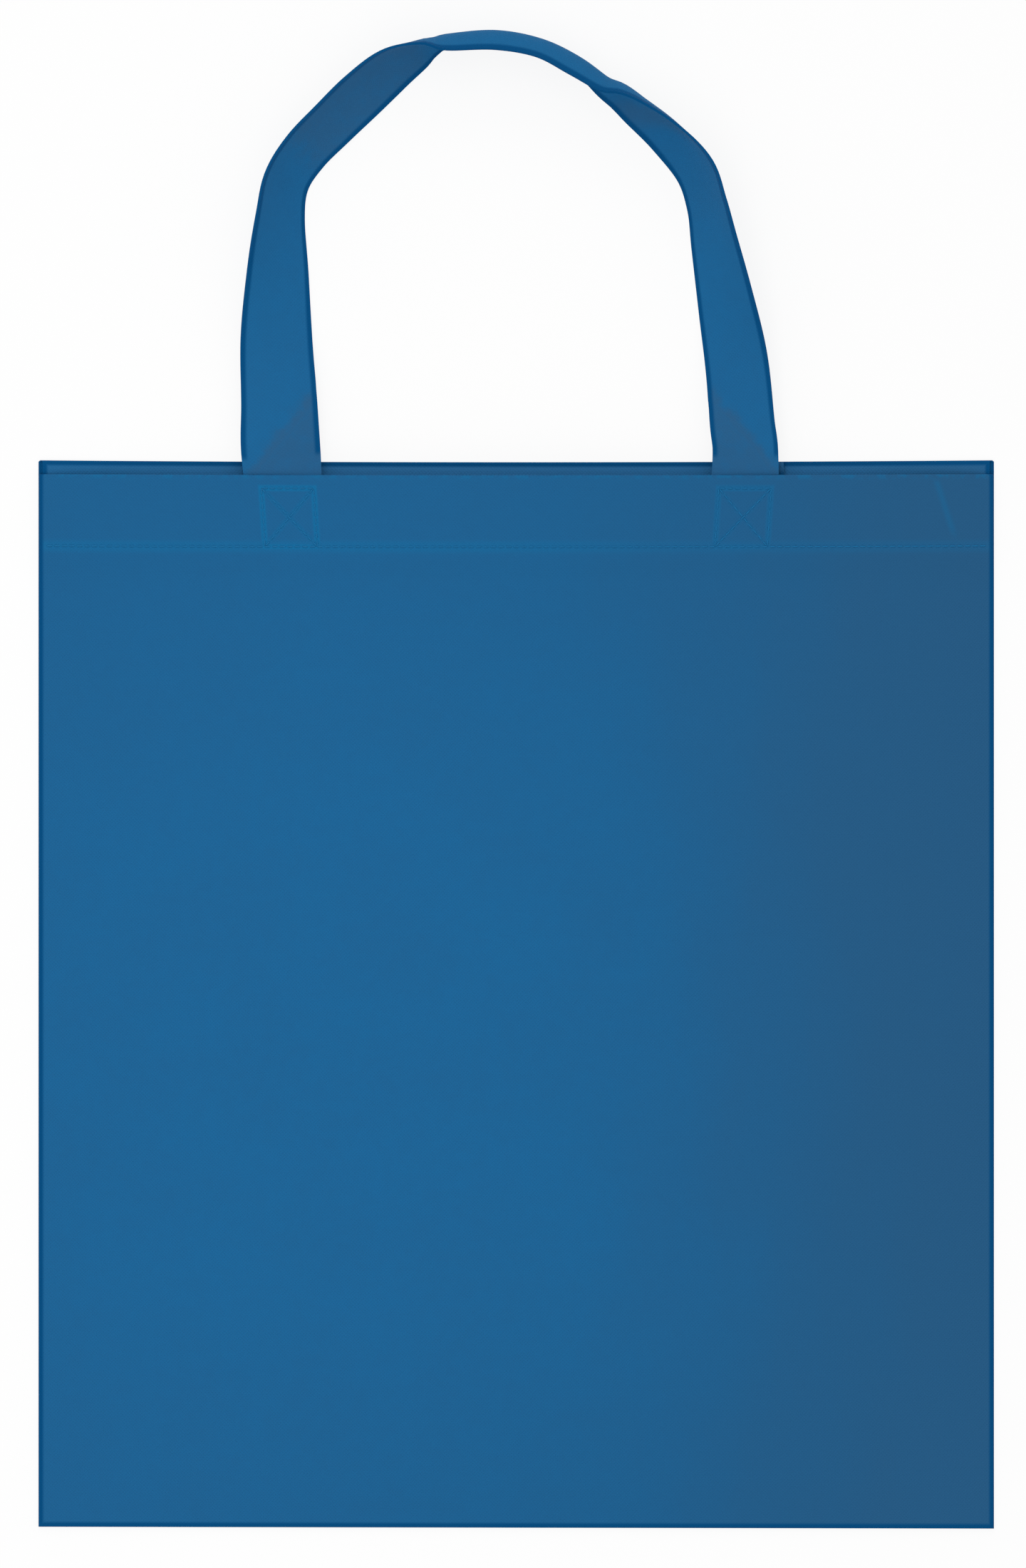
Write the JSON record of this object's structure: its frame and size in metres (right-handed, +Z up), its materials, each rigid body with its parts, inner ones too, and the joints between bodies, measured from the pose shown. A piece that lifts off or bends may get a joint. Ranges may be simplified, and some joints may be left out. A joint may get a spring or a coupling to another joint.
{
  "type": "non-woven carrier bag",
  "caption": "Flat carrier bag of non-woven plastic cloth with hemmed mouth and strap handles, lying on its back with its front handle laid out in an arch.",
  "frame": {"origin": "on the surface that the bag lies on, below the middle of the outline of bag and handle together", "axes": "+X across the bag to the right seen from above, +Y from the bottom fold to the handle, +Z up out of the front panel"},
  "size_m": [0.38, 0.594, 0.0253],
  "materials": {
    "bag_cloth": "matte",
    "strap_cloth": "matte"
  },
  "bodies": {
    "root": {"bag_body": "bag_cloth", "front_handle": "strap_cloth", "rear_handle": "strap_cloth"}
  },
  "joints": []
}
